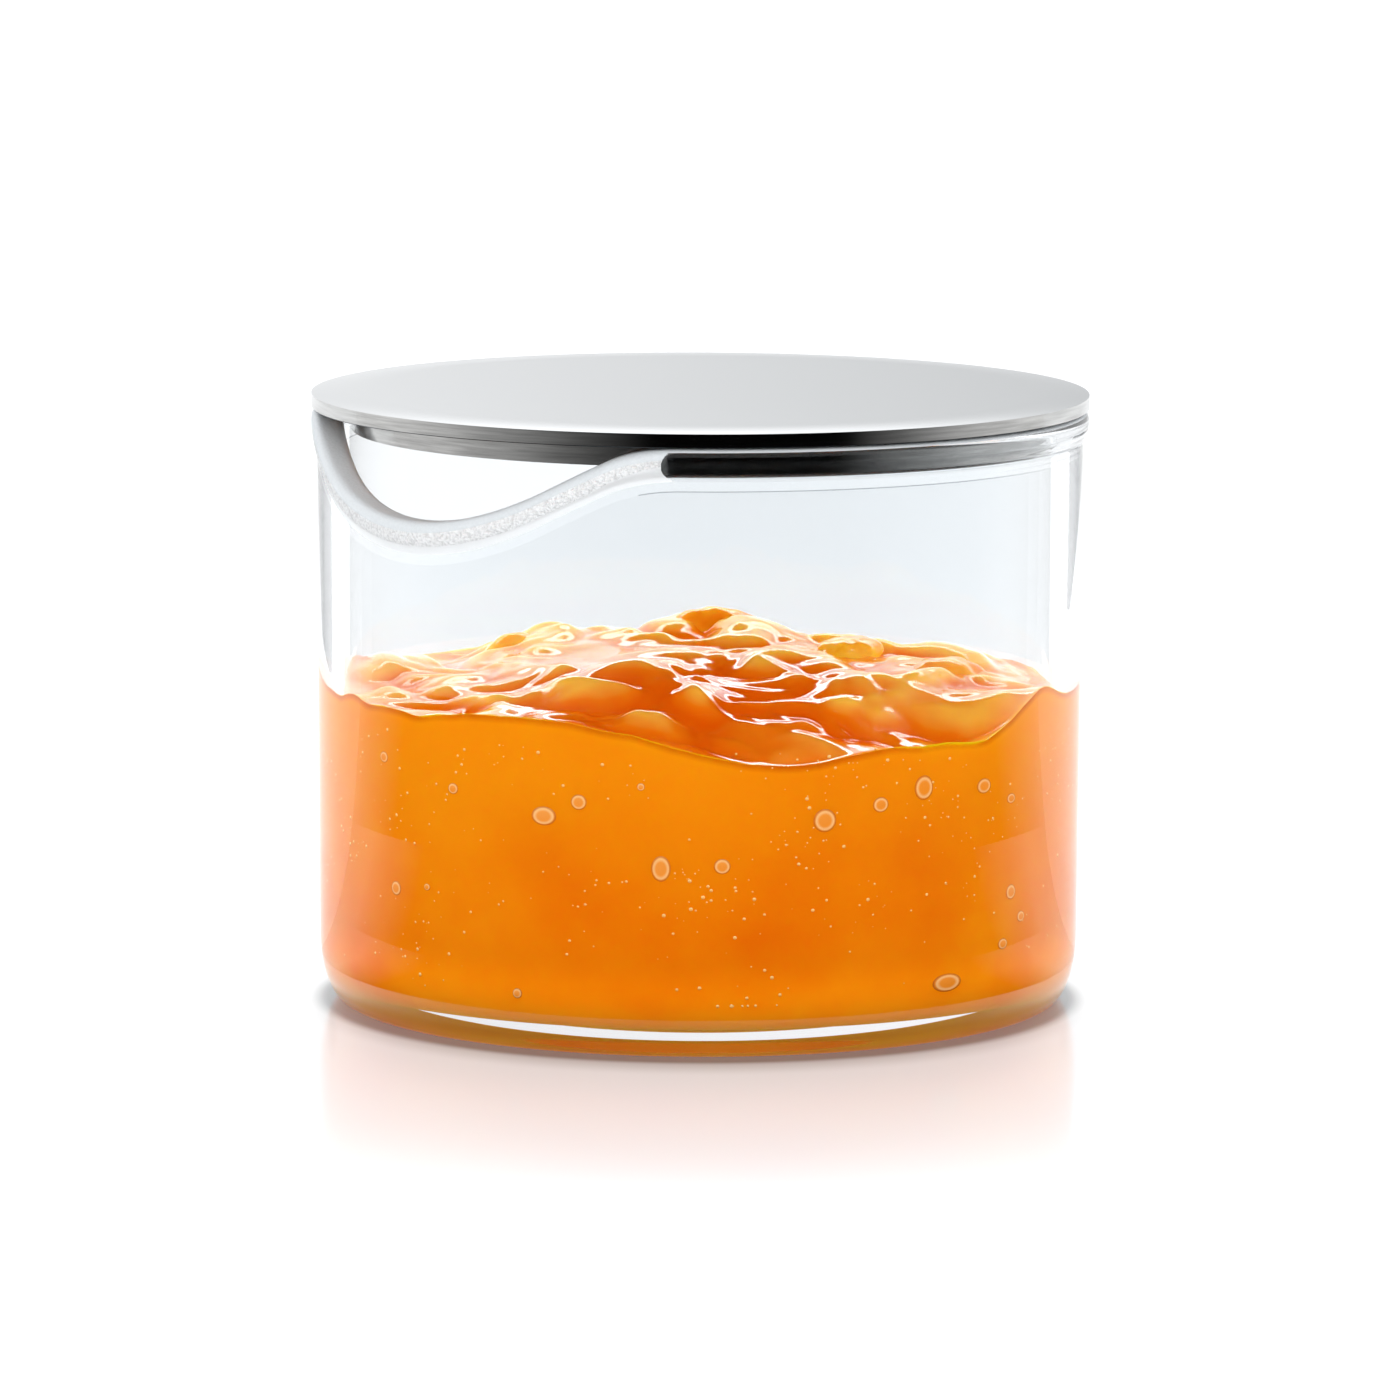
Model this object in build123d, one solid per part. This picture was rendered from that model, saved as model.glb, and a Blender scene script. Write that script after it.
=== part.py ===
# Jam pot: a clear glass pot with a spoon scoop in its beaded rim, a two-step steel lid and apricot jam.
# Millimetres, +Z up, origin at the centre of the foot ring on the surface it stands on, scoop facing -Y.
import os
from math import asin, cos, degrees, exp, hypot, radians, sin, tan

from build123d import *

# Glass pot
rim_height = 69.0
rim_radius = 45.0
rim_edge_radius = 1.2
bead_face_drop = 1.8
bead_drop = 3.75
wall_top_radius = 44.47
wall_foot_radius = 44.07
bore_radius = 41.3
base_thickness = 3.3
base_corner_width = 3.0
base_corner_height = 7.7
foot_ring_radius = 37.0
foot_recess_depth = 2.2
foot_recess_run = 3.5
bore_corner_radius = 5.0

# Scoop in the rim, drawn flat in the XZ plane
scoop_depth = 9.9
scoop_floor_radius = 36.5
scoop_flank_angle = 30.0
scoop_shoulder_radius = 13.0
scoop_skirt = 10.0
scoop_sections = 17
scoop_seam = 0.001
scoop_margin = 1.0

# Lid
lid_seat_gap = 0.05
lid_radius = 45.0
lid_side_height = 1.6
lid_roll_off_width = 7.0
lid_roll_off_drop = 0.3
lid_edge_chamfer = 0.1
disc_radius = 40.35
disc_height = 2.6
disc_edge_chamfer = 0.1

# Jam
jam_gap = 0.05
jam_level = 36.3
jam_headroom = 60.0
jam_grid_half = 43.0
jam_grid_count = 21
# Heaps and hollows in the jam's surface: x, y, height, reach
jam_heaps = [
    (0.1, -2.8, 4.2, 30.0),
    (10.7, -17.9, 0.6, 11.0),
    (37.7, -21.0, -4.2, 14.0),
    (36.7, 3.0, -3.6, 9.5),
    (38.5, 15.0, 2.2, 7.0),
    (14.4, -37.6, 1.2, 9.0),
    (-14.3, 19.9, 3.2, 13.0),
    (12.9, 28.9, 1.6, 12.0),
    (-25.3, -3.9, 0.6, 9.0),
    (-31.0, -28.5, 2.6, 8.0),
]
# Apricot pieces in that surface: x, y, length, thickness, tilt about X, tilt about Y, turn about Z
apricot_sink = 2.0
apricot_slimness = 0.8
apricot_places = [
    (-10.5, 13.7, 14.0, 8.0, 14.0, 10.0, 20.0),
    (-23.8, -5.3, 12.5, 7.0, -12.0, 18.0, 70.0),
    (4.1, 19.3, 13.0, 7.5, 10.0, -16.0, -35.0),
    (18.9, 20.6, 12.5, 7.0, -18.0, -8.0, 50.0),
    (6.5, -19.5, 13.0, 6.0, 16.0, 6.0, 10.0),
    (22.4, 6.6, 13.5, 6.0, -8.0, 14.0, -60.0),
]

rim_centre_radius = (rim_radius + bore_radius) / 2
bead_foot = rim_height - bead_drop
lid_seat = rim_height + lid_seat_gap
flank = radians(scoop_flank_angle)


def wall_radius(height):
    """Outer radius of the slightly tapered wall at a height."""
    taper = (wall_top_radius - wall_foot_radius) / (bead_foot - base_corner_height)
    return wall_foot_radius + taper * (height - base_corner_height)


# Scoop outline: an arc for its floor, straight flanks, and shoulder arcs that run out level with the rim
floor_run = scoop_floor_radius * sin(flank)
floor_rise = scoop_floor_radius * (1 - cos(flank))
shoulder_run = scoop_shoulder_radius * sin(flank)
shoulder_rise = scoop_shoulder_radius * (1 - cos(flank))
flank_run = (scoop_depth - floor_rise - shoulder_rise) / tan(flank)
scoop_half_width = floor_run + flank_run + shoulder_run


def rim_top(x):
    """Height of the rim's edge at a distance x from the middle of the scoop."""
    bottom = rim_height - scoop_depth
    x = abs(x)
    if x < floor_run:
        return bottom + scoop_floor_radius * (1 - cos(asin(x / scoop_floor_radius)))
    if x < floor_run + flank_run:
        return bottom + floor_rise + (x - floor_run) * tan(flank)
    rest = max(scoop_half_width - x, 0.0)
    return rim_height - scoop_shoulder_radius * (1 - cos(asin(rest / scoop_shoulder_radius)))


def bead_edges(top):
    """Bead of the rim: from the bore over its rounded edges, then swept in to the wall on the outside."""
    edge = top - rim_edge_radius
    face_foot = top - bead_face_drop
    foot = top - bead_drop
    foot_radius = wall_radius(foot)
    inner_top = bore_radius + rim_edge_radius
    outer_top = rim_radius - rim_edge_radius
    middle = ((rim_radius + foot_radius) / 2, (face_foot + foot) / 2)
    return [
        TangentArc((bore_radius, edge), (inner_top, top), tangent=(0, 1)),
        Line((inner_top, top), (outer_top, top)),
        TangentArc((outer_top, top), (rim_radius, edge), tangent=(1, 0)),
        Line((rim_radius, edge), (rim_radius, face_foot)),
        TangentArc((rim_radius, face_foot), middle, tangent=(0, -1)),
        TangentArc((foot_radius, foot), middle, tangent=(0, 1)),
    ]


def wall_section(top, bottom):
    """Upright section of the wall and its rim, from a height up to the rim's edge."""
    foot = top - bead_drop
    edges = bead_edges(top)
    edges.append(Line((wall_radius(foot), foot), (wall_radius(bottom), bottom)))
    edges.append(Line((wall_radius(bottom), bottom), (bore_radius, bottom)))
    edges.append(Line((bore_radius, bottom), (bore_radius, top - rim_edge_radius)))
    return make_face(edges)


def radial_plane(angle):
    """Upright plane through the axis, at an angle from the middle of the scoop."""
    turn = radians(angle)
    return Plane(
        origin=(0, 0, 0),
        x_dir=(sin(turn), -cos(turn), 0),
        z_dir=(-cos(turn), -sin(turn), 0),
    )


def beaker_profile():
    """Half section of the pot: beaded rim, tapered wall, base corner, foot ring, floor and bore."""
    corner = wall_foot_radius - base_corner_width
    recess_edge = foot_ring_radius - foot_recess_run
    recess_middle = (foot_ring_radius - foot_recess_run / 2, foot_recess_depth / 2)
    floor_edge = bore_radius - bore_corner_radius
    bore_foot = base_thickness + bore_corner_radius
    edges = bead_edges(rim_height)
    edges.append(Line((wall_radius(bead_foot), bead_foot), (wall_foot_radius, base_corner_height)))
    edges.append(
        EllipticalCenterArc(
            (corner, base_corner_height), base_corner_width, base_corner_height, -90, arc_size=90
        )
    )
    edges.append(Line((corner, 0), (foot_ring_radius, 0)))
    edges.append(TangentArc((foot_ring_radius, 0), recess_middle, tangent=(-1, 0)))
    edges.append(TangentArc((recess_edge, foot_recess_depth), recess_middle, tangent=(1, 0)))
    edges.append(Line((recess_edge, foot_recess_depth), (0, foot_recess_depth)))
    edges.append(Line((0, foot_recess_depth), (0, base_thickness)))
    edges.append(Line((0, base_thickness), (floor_edge, base_thickness)))
    edges.append(TangentArc((floor_edge, base_thickness), (bore_radius, bore_foot), tangent=(1, 0)))
    edges.append(Line((bore_radius, bore_foot), (bore_radius, rim_height - rim_edge_radius)))
    return make_face(edges)


def glass_pot():
    """Beaker whose wall round the scoop is lofted through sections that follow the dip of the rim."""
    reach = degrees(asin(scoop_half_width / rim_centre_radius))
    skirt = rim_height - scoop_depth - scoop_skirt
    beaker = revolve(Plane.XZ * beaker_profile(), Axis.Z)
    window_face = Pos(rim_radius, (skirt + rim_height) / 2) * Rectangle(
        2 * (rim_radius - bore_radius + scoop_margin), rim_height - skirt
    )
    window = revolve(radial_plane(-reach) * window_face, Axis.Z, 2 * reach)
    sections = []
    for index in range(scoop_sections):
        angle = reach * (2 * index / (scoop_sections - 1) - 1)
        top = rim_top(rim_centre_radius * sin(radians(angle)))
        sections.append(radial_plane(angle) * wall_section(top, skirt))
    return (beaker - window).fuse(loft(sections), tol=scoop_seam)


def lid_plate():
    """Flat plate whose top rolls off softly towards a crisp edge."""
    side_top = lid_seat + lid_side_height
    top = side_top + lid_roll_off_drop
    flat_edge = lid_radius - lid_roll_off_width
    profile = [
        Line((0, lid_seat), (lid_radius - lid_edge_chamfer, lid_seat)),
        Line((lid_radius - lid_edge_chamfer, lid_seat), (lid_radius, lid_seat + lid_edge_chamfer)),
        Line((lid_radius, lid_seat + lid_edge_chamfer), (lid_radius, side_top)),
        TangentArc((flat_edge, top), (lid_radius, side_top), tangent=(1, 0)),
        Line((flat_edge, top), (0, top)),
        Line((0, top), (0, lid_seat)),
    ]
    return revolve(Plane.XZ * make_face(profile), Axis.Z)


def lid_locating_disc():
    """Disc under the plate that drops into the mouth of the pot."""
    disc = Pos(0, 0, lid_seat - disc_height / 2) * Cylinder(disc_radius, disc_height)
    return chamfer(disc.edges().sort_by(Axis.Z)[0], disc_edge_chamfer)


def jam_height(x, y):
    """Height of the jam's surface."""
    height = jam_level
    for heap_x, heap_y, rise, reach in jam_heaps:
        height += rise * exp(-((hypot(x - heap_x, y - heap_y) / reach) ** 2))
    return height


def apricot_pieces():
    """Soft oval lumps of fruit, half sunk in the jam's surface."""
    pieces = []
    for x, y, length, thickness, tilt_x, tilt_y, turn in apricot_places:
        lump = scale(Sphere(0.5), (length, apricot_slimness * length, thickness))
        pieces.append(Pos(x, y, jam_height(x, y) - apricot_sink) * Rot(tilt_x, tilt_y, turn) * lump)
    return pieces


def jam(pieces):
    """Jam that fills the bore up to its heaped surface, with a seat for each piece of fruit."""
    radius = bore_radius - jam_gap
    floor = base_thickness + jam_gap
    floor_edge = radius - bore_corner_radius
    profile = [
        Line((0, floor), (floor_edge, floor)),
        TangentArc((floor_edge, floor), (radius, floor + bore_corner_radius), tangent=(1, 0)),
        Line((radius, floor + bore_corner_radius), (radius, jam_headroom)),
        Line((radius, jam_headroom), (0, jam_headroom)),
        Line((0, jam_headroom), (0, floor)),
    ]
    block = revolve(Plane.XZ * make_face(profile), Axis.Z)
    step = 2 * jam_grid_half / (jam_grid_count - 1)
    ticks = [index * step - jam_grid_half for index in range(jam_grid_count)]
    grid = [[Vector(x, y, jam_height(x, y)) for y in ticks] for x in ticks]
    surface = Face.make_surface_from_array_of_points(grid)
    filled = block - extrude(surface, jam_headroom, dir=(0, 0, 1))
    for piece in pieces:
        filled -= piece
    return filled


fruit = apricot_pieces()
nodes = {
    "glass_pot": glass_pot(),
    "lid_plate": lid_plate(),
    "lid_locating_disc": lid_locating_disc(),
    "jam": jam(fruit),
    "apricot_pieces": Compound([piece.solid() for piece in fruit]),
}

os.makedirs("parts", exist_ok=True)
for name, shape in nodes.items():
    export_step(shape, f"parts/{name}.step")
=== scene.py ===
import math
import random

import bpy
import numpy as np
from mathutils import Euler, Matrix, Vector, noise


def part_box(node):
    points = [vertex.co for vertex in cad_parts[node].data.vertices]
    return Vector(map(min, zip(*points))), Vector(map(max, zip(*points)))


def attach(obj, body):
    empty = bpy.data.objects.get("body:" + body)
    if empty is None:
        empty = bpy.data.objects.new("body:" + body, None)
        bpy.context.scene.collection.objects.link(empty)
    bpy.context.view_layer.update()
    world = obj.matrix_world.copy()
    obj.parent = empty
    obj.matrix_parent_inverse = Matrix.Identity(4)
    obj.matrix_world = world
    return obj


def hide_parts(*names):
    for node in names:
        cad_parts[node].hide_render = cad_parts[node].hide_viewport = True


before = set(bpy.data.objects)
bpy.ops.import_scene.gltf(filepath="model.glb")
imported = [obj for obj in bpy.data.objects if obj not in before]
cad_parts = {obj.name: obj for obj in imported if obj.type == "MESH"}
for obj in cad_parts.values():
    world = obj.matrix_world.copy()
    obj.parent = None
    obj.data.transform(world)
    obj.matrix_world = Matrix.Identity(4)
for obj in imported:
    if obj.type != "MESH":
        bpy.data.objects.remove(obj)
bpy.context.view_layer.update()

# Sizes of the pot, the jam and the camera are in millimetres,
# and those of the materials, the floor, the flags and the lights are in metres
MM = 0.001

# Lid, with its heights from the frame
LID_LOW, LID_HIGH = (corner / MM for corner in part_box("lid_plate"))
DISC_LOW, DISC_HIGH = (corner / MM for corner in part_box("lid_locating_disc"))
LID_RADIUS = 45.0
LID_SIDE_HEIGHT = 1.6
LID_ROLL_OFF_WIDTH = 7.0
LID_EDGE_CHAMFER = 0.1
DISC_RADIUS = 40.35

# Glass pot
RIM_HEIGHT = 69.0
RIM_RADIUS = 45.0
RIM_EDGE_RADIUS = 1.2
BEAD_CENTRE = 43.15
BEAD_LEVEL = 1.8
BEAD_DROP = 3.75
WALL_TOP_RADIUS = 44.47
WALL_FOOT_RADIUS = 44.07
BORE_RADIUS = 41.3
BORE_CORNER_RADIUS = 5.0
BASE_THICKNESS = 3.3
BASE_RING_RADIUS = 37.0
BASE_RECESS = 2.2
BASE_RECESS_RUN = 3.5
BASE_CORNER_WIDTH = 3.0
BASE_CORNER_HEIGHT = 7.7

# Zones of the glass: how far below the rim its ground and satin parts reach, the lip under the bead painted
# bright with a narrow painted dark line at its foot, and where the dark band and that line end, as shares of
# the scoop's shoulder
GROUND_DROP = 2.75
SATIN_DROP = 0.45
BEAD_LIP = 1.15
BEAD_LINE = 0.13
SHOULDER_SHARE = 0.3
BAND_END = 0.22
LINE_END = 0.5

# Scoop in the rim
SCOOP_DEPTH = 9.9
SCOOP_FLOOR_RADIUS = 36.5
SCOOP_FLANK = math.radians(30.0)
SCOOP_SHOULDER_RADIUS = 13.0

# Jam: level, and the heaps and hollows of its surface as x, y, height, reach
JAM_LEVEL = 36.3
JAM_HEAPS = [
    (0.1, -2.8, 4.2, 30.0),
    (10.7, -17.9, 0.6, 11.0),
    (37.7, -21.0, -4.2, 14.0),
    (36.7, 3.0, -3.6, 9.5),
    (38.5, 15.0, 2.2, 7.0),
    (14.4, -37.6, 1.2, 9.0),
    (-14.3, 19.9, 3.2, 13.0),
    (12.9, 28.9, 1.6, 12.0),
    (-25.3, -3.9, 0.6, 9.0),
    (-31.0, -28.5, 2.6, 8.0),
]
JAM_OVERLAP = 0.06
JAM_FIELD_HALF = 44.0
JAM_CELL = 0.4
JAM_SOFTNESS = 0.5
JAM_LINE_DROPS = (0.9, 0.6, 0.4, 0.25, 0.12, 0.0)
MENISCUS_RISE = 0.3
MENISCUS_REACH = 0.6

# Fine relief of the jam: layers of noise as height, scale, layer and whether it is folded into ridges
RELIEF_LAYERS = [
    (1.2, 13.0, 2.4, False),
    (2.4, 10.0, 3.1, True),
    (0.9, 4.5, 5.9, True),
    (0.35, 2.2, 8.6, True),
]
WARP_SIZE = 5.0
WARP_SCALE = 10.0
WARP_LAYERS = (1.7, 7.3)
LUMP_COUNT = 34
LUMP_SEED = 5
LUMP_MARGIN = 3.0
LUMP_LENGTHS = (5.0, 12.0)
LUMP_SLIMNESS = (0.45, 0.8)
LUMP_RISES = (0.5, 1.7)

# Where that relief calms down: towards the wall, and in a pool given as x, y, reach
CALM_FROM = 35.0
CALM_SHARE = 0.65
JAM_POOL = (-5.8, -9.2, 9.5)
POOL_SHARE = 0.85

# Painted light and shade of the jam's top: its level, what a crest adds, and what a hollow takes, given as
# x, y, reach
PAINTED_LIGHT_LEVEL = 0.68
CREST_PAINTED_LIGHT = 0.5
CREST_WIDTH = 3.0
HOLLOW_PAINTED_SHADE = 0.45
JAM_SHADED_HOLLOW = (19.7, -14.0, 17.0)

# Apricot pieces in that surface: x, y, length, thickness, tilts about X and Y and turn about Z in degrees
APRICOT_PLACES = [
    (-10.5, 13.7, 14.0, 8.0, 14.0, 10.0, 20.0),
    (-23.8, -5.3, 12.5, 7.0, -12.0, 18.0, 70.0),
    (4.1, 19.3, 13.0, 7.5, 10.0, -16.0, -35.0),
    (18.9, 20.6, 12.5, 7.0, -18.0, -8.0, 50.0),
    (6.5, -19.5, 13.0, 6.0, 16.0, 6.0, 10.0),
    (22.4, 6.6, 13.5, 6.0, -8.0, 14.0, -60.0),
]
APRICOT_SINK = 2.0
APRICOT_SLIMNESS = 0.8
APRICOT_COVER = 1.5
APRICOT_COVER_REACH = 8.5
APRICOT_SHRINK = 0.93
# Dents in their skin: depth as a share of the radius, scale, and step of the noise from piece to piece
APRICOT_DENTS = [(0.16, 4.5, (9.0, 0.0, 0.0)), (0.05, 1.6, (0.0, 7.0, 0.0))]

# Bubbles against the glass: bearing from the camera in degrees, height, width, tallness, paleness, the share
# of their painted light and shade
BUBBLES = [
    (-24.2, 26.9, 3.0, 2.2, 0.9),
    (-18.5, 28.7, 1.9, 1.8, 0.7),
    (-5.7, 21.5, 2.2, 3.0, 0.7),
    (3.6, 21.8, 1.9, 1.8, 0.6),
    (-40.6, 29.0, 1.5, 1.3, 0.5),
    (-56.5, 31.3, 1.6, 1.3, 0.4),
    (-8.8, 30.7, 0.9, 0.9, 0.7),
    (19.5, 26.7, 2.7, 2.7, 0.5),
    (28.8, 28.1, 2.0, 1.8, 0.4),
    (36.6, 29.6, 2.6, 2.9, 0.2),
    (49.1, 28.9, 2.4, 1.8, 0.25),
    (55.9, 26.9, 1.7, 1.2, 0.25),
    (-53.4, 16.5, 1.8, 1.7, 0.4),
    (-46.1, 17.3, 1.0, 0.8, 0.4),
    (-28.7, 6.5, 1.2, 1.1, 0.7),
    (41.5, 7.0, 4.2, 2.0, 0.25),
    (56.1, 16.1, 1.9, 1.8, 0.4),
    (59.0, 13.0, 1.6, 1.3, 0.4),
    (54.1, 10.3, 1.8, 1.3, 0.4),
]
BUBBLE_BULGE = 0.22
BUBBLE_SINK = 0.05
BUBBLE_MESH = (12, 24)

# Specks: seeded groups of up to so many, between two heights, spread about their middle
SPECK_SEED = 11
SPECK_GROUPS = 190
SPECK_MOST = 12
SPECK_LEVELS = (7.0, 33.0)
SPECK_LIMITS = (6.0, 34.5)
SPECK_SPREAD_DEGREES = 3.5
SPECK_SPREAD_HEIGHT = 2.0
SPECK_LEAST_SIZE = 0.07
SPECK_MORE_SIZE = 0.17
SPECK_SINK = 0.02
SPECK_FLATNESS = 0.6
SPECK_MESH = (4, 8)

# Mesh fineness
COLUMNS = 512
END_COLUMNS = 24
LID_COLUMNS = 256
LID_RINGS = 12
LID_ROLL_ROWS = 16
LID_SIDE_ROWS = 4
LID_SHARP_ANGLE = 20.0
DISC_RINGS = 10
JAM_RINGS = 100
JAM_SIDE_ROWS = 60
FRUIT_MESH = (40, 64)

# Glass by zone: name, colour, transmission, roughness, depth of grain, glow
CLEAR_COLOUR = (0.885, 0.906, 0.92)
GLASS_FINISHES = {
    "clear": ("clear_glass", CLEAR_COLOUR, 1.0, 0.0, 0.0, 0.0),
    "ground": ("ground_glass", (0.88, 0.89, 0.90), 0.2, 0.5, 1.0, 0.0),
    "edge": ("edge_glass", (0.67, 0.70, 0.72), 0.0, 0.45, 0.2, 0.0),
    # Painted pale patch on the bead, standing for light refracted there
    "pale": ("painted_pale_glass", (0.86, 0.875, 0.885), 0.3, 0.3, 0.0, 0.0),
    # Painted highlight: clear glass with a faint glow
    "bright": ("painted_glow_glass", CLEAR_COLOUR, 1.0, 0.0, 0.0, 0.05),
    # Painted dark line at the foot of that glow
    "line": ("painted_dark_line_glass", (0.30, 0.32, 0.34), 1.0, 0.0, 0.0, 0.0),
}
# Range of the share by which glass turns away over which its tint fades, which paints the glass lighter
# towards its outline
GRAZE_RANGE = (0.25, 0.75)
GLASS_GRAIN_SCALE = 3200.0
GLASS_GRAIN_DEPTH = 0.0003
GLASS_GRAIN_SHADE = 0.25

# Steel of the plate's top, side and painted shadow line at its lower edge, and of the disc:
# name, colour, roughness, depth of grain, scale of grain, share of its reflection at grazing angles
EVEN_GRAIN = (900.0, 900.0, 900.0)
TURNED_GRAIN = (140.0, 140.0, 2600.0)
STEEL_PLATE = [
    # Painted shade: the top's steel is a much darker copy of the side's, which dims its bright reflection
    ("steel_top", (0.20, 0.21, 0.217), 0.15, 0.06, EVEN_GRAIN, 0.87),
    ("steel_side", (0.62, 0.62, 0.61), 0.16, 0.3, TURNED_GRAIN, 1.0),
    # Painted shadow line: near black steel on the plate's lower chamfer
    ("steel_shadow_line", (0.07, 0.08, 0.09), 0.4, 0.3, TURNED_GRAIN, 1.0),
]
STEEL_DISC = ("steel_disc", (0.56, 0.56, 0.55), 0.16, 0.35, TURNED_GRAIN, 1.0)

# Jam and fruit: stops of colour, and painted glows that stand for light through the gel
JAM_SIDE_STOPS = [(0.3, (0.80, 0.15, 0.001)), (0.5, (0.84, 0.20, 0.001)), (0.7, (0.87, 0.25, 0.002))]
# The side's upper part is painted yellower and lighter, as if lit from above
JAM_UPPER_COLOUR = (0.85, 0.30, 0.003)
JAM_UPPER_HEIGHTS = (0.012, 0.036)
JAM_UPPER_SHARE = 0.65
# Painted dark line along the jam's top edge against the glass
JAM_PAINTED_LINE_COLOUR = (0.50, 0.06, 0.0005)
JAM_SHEEN = (0.4, 0.6, 0.05, 1.0)
JAM_TOP_STOPS = [(0.3, (0.79, 0.105, 0.0006)), (0.5, (0.84, 0.175, 0.003)), (0.72, (0.93, 0.43, 0.05))]
JAM_CLOUD_SHARE = 0.4
FRUIT_STOPS = [(0.3, (0.84, 0.20, 0.002)), (0.5, (0.90, 0.34, 0.012)), (0.7, (0.94, 0.48, 0.06))]
JAM_UNDER_GLOW = 0.45
JAM_UNDER_HEIGHTS = (BASE_THICKNESS * MM, (BASE_THICKNESS + 8.0) * MM)
JAM_TOP_GLOW = 0.22

# Bubbles and specks: stops of painted shade on the under side up to painted light on top, the painted
# highlight round their rim, and the share of their painted dark outline
BUBBLE_SHADING_STOPS = [
    (0.1, (0.70, 0.14, 0.003)),
    (0.4, (0.88, 0.27, 0.03)),
    (0.6, (0.90, 0.34, 0.07)),
    (0.92, (0.98, 0.66, 0.30)),
]
SPECK_SHADING_STOPS = [(0.1, (0.60, 0.10, 0.001)), (0.35, (0.93, 0.37, 0.04)), (0.8, (0.98, 0.64, 0.24))]
BUBBLE_OUTLINE = 0.8
BUBBLE_OUTLINE_FROM = 0.75
BUBBLE_PAINTED_OUTLINE_COLOUR = (0.50, 0.10, 0.004)
BUBBLE_FILM_COLOUR = (0.86, 0.24, 0.006)
BUBBLE_HIGHLIGHT_STOPS = [(0.5, (0.0,) * 3), (0.74, (0.6,) * 3), (0.88, (0.0,) * 3)]
BUBBLE_HIGHLIGHT_COLOUR = (0.98, 0.66, 0.30)

# Camera, fitted to the outlines of the lid and the base in the photo
CAMERA_AZIMUTH = math.radians(47.5)
CAMERA_DISTANCE = 1000.0
CAMERA_HEIGHT = 176.42
CAMERA_PITCH = 0.140879
CAMERA_ROLL = 0.004105
CAMERA_LENS = 223.3
CAMERA_SHIFT = 0.0006
TO_CAMERA = Vector((math.sin(CAMERA_AZIMUTH), -math.cos(CAMERA_AZIMUTH), 0.0))
TO_RIGHT = Vector((math.cos(CAMERA_AZIMUTH), math.sin(CAMERA_AZIMUTH), 0.0))
UP = Vector((0.0, 0.0, 1.0))

# Floor's shade where it meets the pot: a tight ring, and a softer pool moved towards the camera
FLOOR_HALF = 4.0
FLOOR_RING_SHIFT = 0.001
FLOOR_RING_RANGE = (0.0415, 0.0465)
FLOOR_RING = [(0.0, 0.34), (0.32, 0.34), (0.42, 0.42), (0.54, 0.62), (0.66, 0.78), (0.78, 0.88)]
FLOOR_SOFT_SHIFT = 0.006
FLOOR_SOFT_RANGE = (0.038, 0.047)
FLOOR_SOFT = 0.62
FLOOR_GLOSS_RANGE = (0.045, 0.13)
FLOOR_GLOSS = 0.5

# Flags round the camera's side. Edges are (radius, height), bearings are degrees from the camera
FLAG_REACH = 0.32
FLAG_SPAN = 115.0
FLAG_FOOT = 0.001
FLAG_COLUMNS = 48
FLAG_FAINTNESS = 0.75
FLAG_WALL = [(FLAG_REACH, FLAG_FOOT), (FLAG_REACH, 0.14)]
FLAG_ALL_ROUND = [(-FLAG_SPAN, FLAG_SPAN)] * 2
# Each flag: name, two edges, bearings of each edge's ends, where its black ends and its white starts,
# whether it shows through glass
FLAGS = [
    ("flag_left", FLAG_WALL, [(-FLAG_SPAN, 0)] * 2, 14.0, 90.0, True),
    ("flag_right", FLAG_WALL, [(0, FLAG_SPAN)] * 2, 42.0, 100.0, True),
    (
        "flag_edge_left", [(FLAG_REACH, FLAG_FOOT), (FLAG_REACH, 0.031)],
        [(-152, -138), (-161, -138)], 149.0, 162.0, False,
    ),
    (
        "flag_edge_right", [(FLAG_REACH, 0.006), (FLAG_REACH, 0.031)],
        [(138, 141), (138, 161)], 149.0, 162.0, False,
    ),
    (
        "flag_edge_floor", [(0.285, FLAG_FOOT), (FLAG_REACH, FLAG_FOOT)],
        [(-141, -138), (-152, -138)], 149.0, 162.0, False,
    ),
    ("flag_floor_85", [(0.05, FLAG_FOOT), (0.085, FLAG_FOOT)], FLAG_ALL_ROUND, 68.0, 91.0, True),
    ("flag_floor_160", [(0.085, FLAG_FOOT), (0.16, FLAG_FOOT)], FLAG_ALL_ROUND, 79.0, 102.0, True),
    ("flag_floor_320", [(0.16, FLAG_FOOT), (FLAG_REACH, FLAG_FOOT)], FLAG_ALL_ROUND, 92.0, 115.0, True),
]

# World: levels, and the ranges of direction, as parts of a unit vector, over which they change
WORLD_COLOUR = (0.97, 0.985, 1.0, 1.0)
WORLD_FRONT = 0.15
WORLD_SIDE = 1.03
WORLD_TURN = (-0.75, 0.2)
WORLD_LEAN = 0.05
WORLD_LEAN_RANGE = (-0.6, 0.6)
WORLD_TOP = 0.6
WORLD_BAND = 1.6
WORLD_BAND_TURN = (0.0, 0.6)
WORLD_RISE = (0.22, 0.36)
WORLD_FALL = (0.6, 0.85)

# Lights
FILL_POWER = 13.0
FILL_DISTANCE = 1.4
FILL_HEIGHT = 0.8
FILL_SIZE = (1.2, 0.9)
FILL_AIM = Vector((0.0, 0.0, 0.04))
SUN_STRENGTH = 1.0
SUN_WIDTH = math.radians(30.0)
SUN_ELEVATION = math.radians(38.0)
LID_CARD_HALF = 0.09
LID_CARD_DEPTH = 0.3
LID_CARD_HEIGHTS = (0.072, 0.35)
LID_CARD_GLOW = 0.36
LID_CARD_FADE = (-0.06, 0.06)
LID_CARD_BAND = 1.2
LID_CARD_BAND_HEIGHTS = (0.112, 0.172)
GLINT_RADIUS = 0.0406
GLINT_HEIGHTS = (0.038, 0.0645)
GLINT_SPAN = 80.0
GLINT_COLUMNS = 32
GLINT_COLOUR = (0.8, 1.0, 1.0, 1.0)
GLINT_SOFT = 2.0
GLINT_STRENGTH = 9.0
GLINT_STRIP = (0.0575, 0.0595)

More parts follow.
